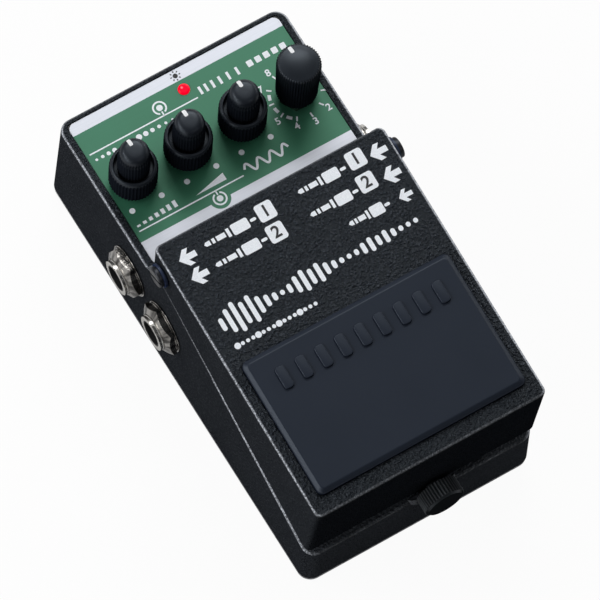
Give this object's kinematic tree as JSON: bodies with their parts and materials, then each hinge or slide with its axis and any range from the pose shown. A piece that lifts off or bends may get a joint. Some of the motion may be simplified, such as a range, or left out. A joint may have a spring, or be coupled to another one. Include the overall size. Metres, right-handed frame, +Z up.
{
  "type": "tape echo pedal",
  "caption": "Wedge-shaped foot pedal with a sprung treadle hinged over a cast case, a row of concentric knobs on a recessed panel and plug sockets in the side walls.",
  "frame": {"origin": "middle of the footprint, on the floor under the rubber sheet", "axes": "+X to the right of the player, +Y to the rear (knob end), +Z up"},
  "size_m": [0.073, 0.129, 0.059],
  "materials": {
    "case_paint": "fine crinkle powder coat, satin",
    "panel_metal": "brushed, with a green print",
    "pad_rubber": "matte, fine grain",
    "sheet_rubber": "matte",
    "steel": "zinc plated",
    "nickel": "nickel plated, satin",
    "knob_plastic": "satin black, knurled",
    "bush_plastic": "moulded blue-grey",
    "thumb_black": "black oxide, knurled",
    "guide_black": "moulded black",
    "jack_plastic": "moulded black with a plated bush",
    "pot_metal": "pressed",
    "board_green": "solder mask",
    "chip_black": "moulded",
    "led_red": "clear tinted",
    "battery_skin": "printed steel can",
    "snap_vinyl": "vinyl",
    "lead_vinyl": "vinyl insulation",
    "switch_body": "moulded",
    "spring_seat_plastic": "moulded",
    "spring_steel": "drawn wire"
  },
  "bodies": {
    "base": {"base_case": "case_paint", "bottom_plate": "steel", "base_rubber_sheet": "sheet_rubber", "bottom_plate_screws": "steel", "control_panel_plate": "panel_metal", "hinge_screws": "steel", "guide_bush": "guide_black", "battery": "battery_skin", "battery_snap": "snap_vinyl", "battery_leads": "lead_vinyl", "spring_base": "spring_seat_plastic", "treadle_spring": "spring_steel", "foot_switch": "switch_body", "main_board": "board_green", "board_chips": "chip_black", "board_screws": "steel", "control_board": "board_green", "board_header": "chip_black", "check_led": "led_red", "led_spacer": "guide_black", "jack_nuts": "nickel", "jack_washers": "nickel", "dc_jack": "jack_plastic", "pot_nuts": "nickel", "output_jack_1": "jack_plastic", "output_jack_2": "jack_plastic", "input_jack_1": "jack_plastic", "input_jack_2": "jack_plastic", "control_jack": "jack_plastic", "dual_pot_1": "pot_metal", "dual_pot_2": "pot_metal", "dual_pot_3": "pot_metal", "mode_switch": "pot_metal"},
    "hinge_bushes": {"hinge_bush_left": "bush_plastic", "hinge_bush_right": "bush_plastic"},
    "treadle": {"treadle": "case_paint", "treadle_pad": "pad_rubber", "treadle_bumper": "sheet_rubber"},
    "screw_washer": {"thumbscrew_washer": "guide_black"},
    "thumbscrew": {"thumbscrew": "thumb_black"},
    "switch_plunger": {"switch_plunger": "switch_body"},
    "outer_control_1": {"outer_knob_1": "knob_plastic", "outer_shaft_1": "pot_metal"},
    "inner_control_1": {"inner_knob_1": "knob_plastic", "inner_shaft_1": "pot_metal"},
    "outer_control_2": {"outer_knob_2": "knob_plastic", "outer_shaft_2": "pot_metal"},
    "inner_control_2": {"inner_knob_2": "knob_plastic", "inner_shaft_2": "pot_metal"},
    "outer_control_3": {"outer_knob_3": "knob_plastic", "outer_shaft_3": "pot_metal"},
    "inner_control_3": {"inner_knob_3": "knob_plastic", "inner_shaft_3": "pot_metal"},
    "mode_control": {"mode_knob": "knob_plastic", "mode_shaft": "pot_metal"}
  },
  "joints": [
    {"name": "treadle_open", "type": "hinge", "parent": "base", "child": "hinge_bushes", "pos_m": [0, 0.01145, 0.0521], "axis": [-1, 0, 0], "range_deg": [0, 85]},
    {"name": "treadle_press", "type": "hinge", "parent": "hinge_bushes", "child": "treadle", "pos_m": [0, 0.01145, 0.0521], "axis": [1, 0, 0], "range_deg": [0, 1.7], "stiffness_Nm_per_rad": 8, "springref_deg": -0.34, "deforming": ["treadle_spring"]},
    {"name": "plunger_travel", "type": "slide", "parent": "base", "child": "switch_plunger", "axis": [0, 0, -1], "range_m": [0, 0.0012], "stiffness_N_per_m": 300},
    {"name": "thumbscrew_slide", "type": "slide", "parent": "treadle", "child": "screw_washer", "axis": [0, -1, 0], "range_m": [0, 0.0016]},
    {"name": "thumbscrew_turn", "type": "hinge", "parent": "screw_washer", "child": "thumbscrew", "pos_m": [0.0032, -0.0599, 0.0219], "axis": [0, -1, 0], "range_deg": [0, 720]},
    {"name": "outer_control_1_turn", "type": "hinge", "parent": "base", "child": "outer_control_1", "pos_m": [-0.02325, 0.0405, 0.05], "axis": [0, 0, -1], "range_deg": [-150, 150]},
    {"name": "inner_control_1_turn", "type": "hinge", "parent": "base", "child": "inner_control_1", "pos_m": [-0.02325, 0.0405, 0.05], "axis": [0, 0, -1], "range_deg": [-150, 150]},
    {"name": "outer_control_2_turn", "type": "hinge", "parent": "base", "child": "outer_control_2", "pos_m": [-0.00775, 0.0405, 0.05], "axis": [0, 0, -1], "range_deg": [-150, 150]},
    {"name": "inner_control_2_turn", "type": "hinge", "parent": "base", "child": "inner_control_2", "pos_m": [-0.00775, 0.0405, 0.05], "axis": [0, 0, -1], "range_deg": [-150, 150]},
    {"name": "outer_control_3_turn", "type": "hinge", "parent": "base", "child": "outer_control_3", "pos_m": [0.00775, 0.0405, 0.05], "axis": [0, 0, -1], "range_deg": [-150, 150]},
    {"name": "inner_control_3_turn", "type": "hinge", "parent": "base", "child": "inner_control_3", "pos_m": [0.00775, 0.0405, 0.05], "axis": [0, 0, -1], "range_deg": [-150, 150]},
    {"name": "mode_control_turn", "type": "hinge", "parent": "base", "child": "mode_control", "pos_m": [0.02325, 0.0405, 0.05], "axis": [0, 0, -1], "range_deg": [-150, 150]}
  ],
  "couplings": [
    {"joint": "thumbscrew_turn", "follows": "thumbscrew_slide", "rad_per_m": 7854}
  ]
}
